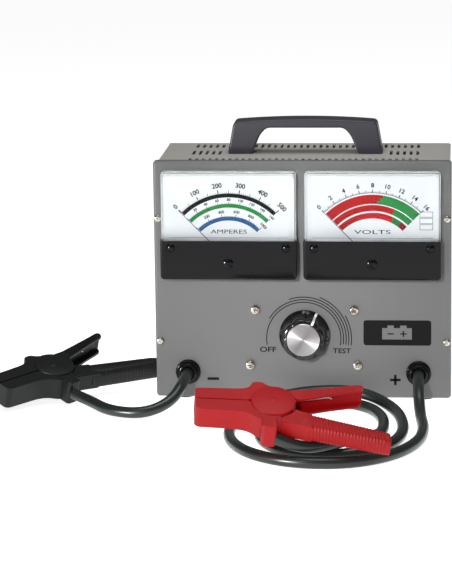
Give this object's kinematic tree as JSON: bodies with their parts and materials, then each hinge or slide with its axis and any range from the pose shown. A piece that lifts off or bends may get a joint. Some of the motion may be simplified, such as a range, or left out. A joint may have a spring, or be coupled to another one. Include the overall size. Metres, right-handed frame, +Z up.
{
  "type": "battery tester",
  "caption": "Carbon pile battery load tester: steel case with handle, two panel meters, load knob and two clamp leads.",
  "frame": {"origin": "on the table, under the centre of the tester without its two leads and clamps (bounding box of every non-cord node)", "axes": "+X to the right of someone reading the meters, +Y from the front panel towards the back, +Z up"},
  "size_m": [0.4356, 0.3821, 0.2635],
  "materials": {
    "panel_grey": "satin",
    "cover_grey": "satin",
    "charcoal": "satin",
    "screw_nickel": "satin",
    "rubber_black": "satin",
    "gloss_black": "gloss",
    "dial_white": "matte",
    "meter_white": "satin",
    "clear": "gloss",
    "needle_black": "matte",
    "plain_steel": "satin",
    "brass": "satin",
    "cap_aluminium": "brushed",
    "carbon": "matte",
    "insulator": "matte",
    "clamp_red": "matte",
    "clamp_black": "matte",
    "copper": "satin"
  },
  "bodies": {
    "tester": {"ammeter_base": "meter_white", "ammeter_dial": "dial_white", "ammeter_lower_cover": "gloss_black", "ammeter_window": "clear", "back_panel": "cover_grey", "back_screws": "screw_nickel", "base_plate": "cover_grey", "black_clamp_contact_b": "copper", "black_clamp_lever_b": "clamp_black", "black_clamp_pin": "plain_steel", "black_clamp_spring": "plain_steel", "black_lead": "rubber_black", "carbon_discs": "carbon", "contact_plate": "brass", "cover": "cover_grey", "feet": "rubber_black", "foot_screws": "screw_nickel", "frame_spacers": "screw_nickel", "front_panel": "panel_grey", "grommet_nuts": "gloss_black", "grommets": "gloss_black", "handle": "charcoal", "handle_screws": "screw_nickel", "inner_lead_black": "rubber_black", "inner_lead_red": "rubber_black", "lead_lugs": "brass", "meter_cover_screws": "gloss_black", "meter_fixings": "screw_nickel", "meter_magnets": "plain_steel", "meter_terminals": "brass", "panel_screws": "screw_nickel", "pile_frame": "plain_steel", "pile_insulator": "insulator", "positive_bus_bar": "brass", "red_clamp_contact_b": "copper", "red_clamp_lever_b": "clamp_red", "red_clamp_pin": "plain_steel", "red_clamp_spring": "plain_steel", "red_lead": "rubber_black", "shunt": "brass", "shunt_insulator": "insulator", "side_screws": "screw_nickel", "voltmeter_base": "meter_white", "voltmeter_dial": "dial_white", "voltmeter_lower_cover": "gloss_black", "voltmeter_window": "clear"},
    "knob": {"knob": "gloss_black", "knob_cap": "cap_aluminium", "knob_grub_screw": "screw_nickel", "load_screw": "screw_nickel"},
    "pressure_plate_body": {"pressure_plate": "brass"},
    "ammeter_movement": {"ammeter_needle": "needle_black"},
    "voltmeter_movement": {"voltmeter_needle": "needle_black"},
    "ammeter_adjuster": {"ammeter_zero_screw": "gloss_black"},
    "voltmeter_adjuster": {"voltmeter_zero_screw": "gloss_black"},
    "red_upper_lever": {"red_clamp_lever_a": "clamp_red", "red_clamp_contact_a": "copper"},
    "black_upper_lever": {"black_clamp_lever_a": "clamp_black", "black_clamp_contact_a": "copper"}
  },
  "joints": [
    {"name": "knob_turn", "type": "hinge", "parent": "tester", "child": "knob", "pos_m": [0.0019, -0.0521, 0.0663], "axis": [0, 1, 0], "range_deg": [-129, 71]},
    {"name": "pressure_plate_slide", "type": "slide", "parent": "tester", "child": "pressure_plate_body", "axis": [0, 1, 0], "range_m": [-0.00089, 0.00049]},
    {"name": "ammeter_needle_swing", "type": "hinge", "parent": "tester", "child": "ammeter_movement", "pos_m": [-0.0684, -0.0521, 0.1395], "axis": [0, 1, 0], "range_deg": [0, 90], "stiffness_Nm_per_rad": 0.02, "springref_deg": -5.73},
    {"name": "ammeter_zero_adjust", "type": "hinge", "parent": "tester", "child": "ammeter_adjuster", "pos_m": [-0.0684, -0.0521, 0.1375], "axis": [0, 1, 0], "continuous": true},
    {"name": "voltmeter_needle_swing", "type": "hinge", "parent": "tester", "child": "voltmeter_movement", "pos_m": [0.0664, -0.0521, 0.1395], "axis": [0, 1, 0], "range_deg": [0, 90], "stiffness_Nm_per_rad": 0.02, "springref_deg": -5.73},
    {"name": "voltmeter_zero_adjust", "type": "hinge", "parent": "tester", "child": "voltmeter_adjuster", "pos_m": [0.0664, -0.0521, 0.1375], "axis": [0, 1, 0], "continuous": true},
    {"name": "red_clamp_squeeze", "type": "hinge", "parent": "tester", "child": "red_upper_lever", "pos_m": [-0.014, -0.2661, 0.046], "axis": [-0.1229, 0.4186, -0.8998], "range_deg": [0, 22], "stiffness_Nm_per_rad": 4, "springref_deg": -28.65, "deforming": ["red_clamp_spring"]},
    {"name": "black_clamp_squeeze", "type": "hinge", "parent": "tester", "child": "black_upper_lever", "pos_m": [-0.2405, -0.0461, 0.024], "axis": [-0.1798, 0.2646, -0.9474], "range_deg": [0, 22], "stiffness_Nm_per_rad": 4, "springref_deg": -28.65, "deforming": ["black_clamp_spring"]}
  ],
  "couplings": [
    {"joint": "knob_turn", "follows": "pressure_plate_slide", "rad_per_m": 2513.3}
  ]
}
